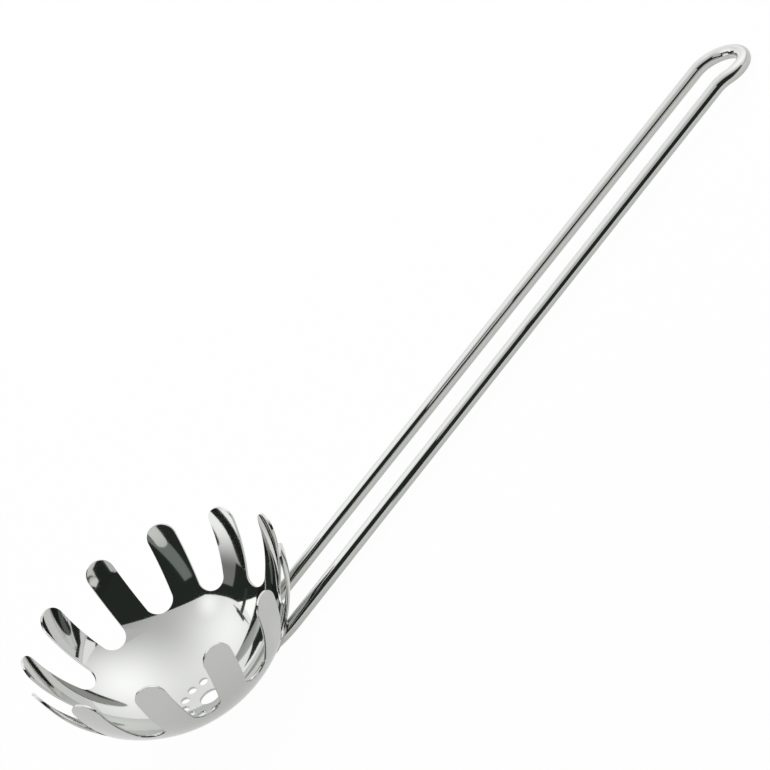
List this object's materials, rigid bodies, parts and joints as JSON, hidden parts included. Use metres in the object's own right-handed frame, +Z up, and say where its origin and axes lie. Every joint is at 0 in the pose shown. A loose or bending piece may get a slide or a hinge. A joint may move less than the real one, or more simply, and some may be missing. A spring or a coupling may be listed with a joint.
{
  "type": "pasta server",
  "caption": "Round slotted pasta server: a pressed steel bowl with rounded tines round its rim and drain holes in its bottom, on a long handle of bent wire with a hanging loop.",
  "frame": {"origin": "on the table, under the middle of the overall length, as the utensil lies on the bottom of its bowl and the tip of its loop", "axes": "+X along the handle from the bowl to the hanging loop, +Z up from the table, +Y to the right for the hand that holds it"},
  "size_m": [0.2666, 0.0822, 0.0529],
  "materials": {
    "polished_sheet": "mirror-polished stainless steel sheet",
    "polished_wire": "mirror-polished stainless steel wire",
    "weld": "cleaned stainless steel weld bead"
  },
  "bodies": {
    "root": {"bowl": "polished_sheet", "handle_wire": "polished_wire", "weld_right": "weld", "weld_left": "weld"}
  },
  "joints": []
}
